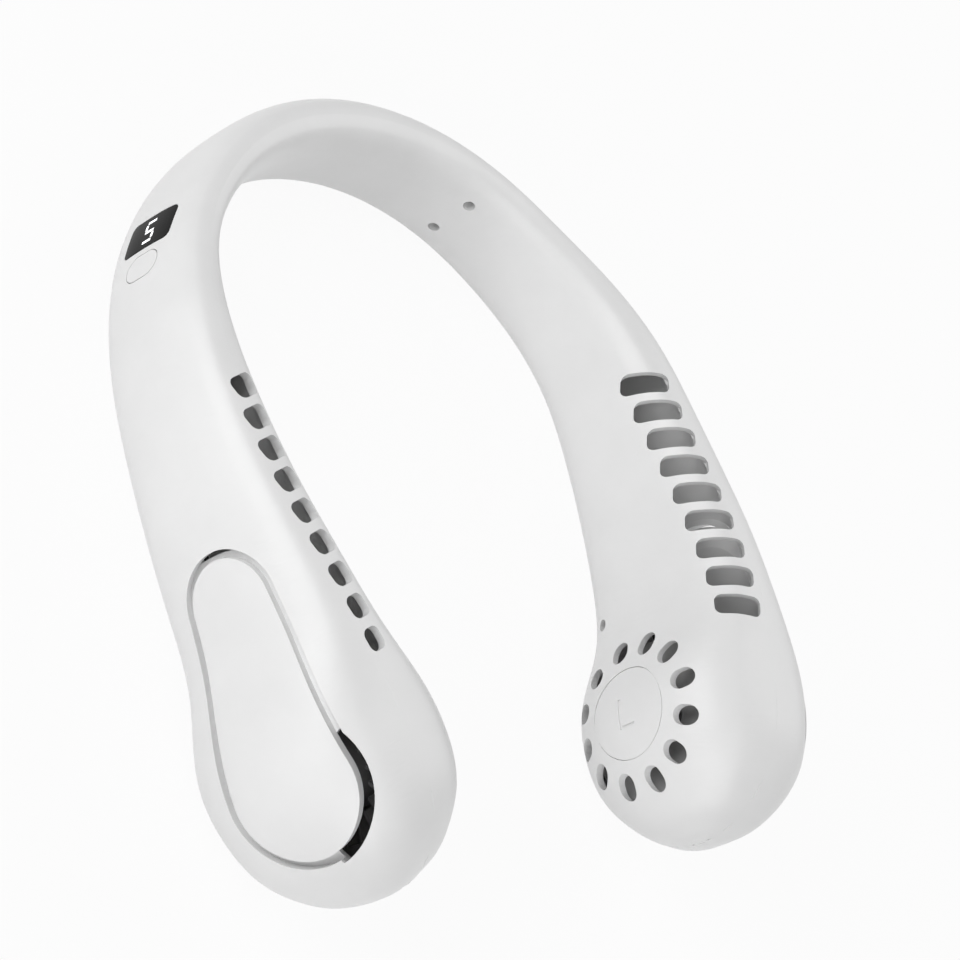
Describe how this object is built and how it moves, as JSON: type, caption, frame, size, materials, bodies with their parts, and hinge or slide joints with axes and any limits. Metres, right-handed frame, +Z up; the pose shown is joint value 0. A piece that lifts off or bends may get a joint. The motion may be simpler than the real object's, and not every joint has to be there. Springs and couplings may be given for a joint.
{
  "type": "neck_fan",
  "caption": "White bladeless electric neck fan: open U-shaped band with air slots, teardrop intake covers, round intake rings, speed display and push button",
  "frame": {"origin": "Middle of the bounding box, on the table plane the band rests on", "axes": "+Z up from the table, -Y towards the open front of the U, +X towards the wearer's left arm"},
  "size_m": [0.1872, 0.2114, 0.0591],
  "materials": {
    "white_shell": "satin white",
    "black_window": "polished black",
    "lit_segment": "lit white",
    "steel": "plain",
    "fan_grey": "moulded grey",
    "magnet_dark": "coated",
    "copper_winding": "enamelled wire",
    "bronze": "sintered",
    "cell_foil": "foil pouch",
    "board_green": "solder mask",
    "module_dark": "moulded black",
    "lead_black": "sheathed"
  },
  "bodies": {
    "housing": {"outer_housing": "white_shell", "inner_housing": "white_shell", "display_window": "black_window", "display_segments": "lit_segment", "housing_screws": "steel", "mount_screws": "steel", "main_board": "board_green", "display_module": "module_dark", "button_switch": "module_dark", "charging_port": "steel", "back_left_cell": "cell_foil", "back_right_cell": "cell_foil", "left_side_cell": "cell_foil", "left_intake_cover": "white_shell", "left_hub_cap": "white_shell", "left_motor_mount": "fan_grey", "left_air_baffle": "fan_grey", "left_stator": "copper_winding", "left_bearing": "bronze", "left_motor_lead": "lead_black", "right_intake_cover": "white_shell", "right_hub_cap": "white_shell", "right_motor_mount": "fan_grey", "right_air_baffle": "fan_grey", "right_stator": "copper_winding", "right_bearing": "bronze", "right_motor_lead": "lead_black"},
    "left_fan": {"left_impeller": "fan_grey", "left_rotor_cup": "steel", "left_magnet_ring": "magnet_dark", "left_shaft": "steel"},
    "right_fan": {"right_impeller": "fan_grey", "right_rotor_cup": "steel", "right_magnet_ring": "magnet_dark", "right_shaft": "steel"},
    "power_button": {"power_button": "white_shell"}
  },
  "joints": [
    {"name": "left_fan_spin", "type": "hinge", "parent": "housing", "child": "left_fan", "pos_m": [0.0686, -0.07367, 0.0278], "axis": [-0.9614, 0.2751, 0], "continuous": true},
    {"name": "right_fan_spin", "type": "hinge", "parent": "housing", "child": "right_fan", "pos_m": [-0.0686, -0.07367, 0.0278], "axis": [0.9614, 0.2751, 0], "continuous": true},
    {"name": "power_button_press", "type": "slide", "parent": "housing", "child": "power_button", "axis": [0.8877, -0.4604, 0], "range_m": [0, 0.0004], "stiffness_N_per_m": 400}
  ]
}
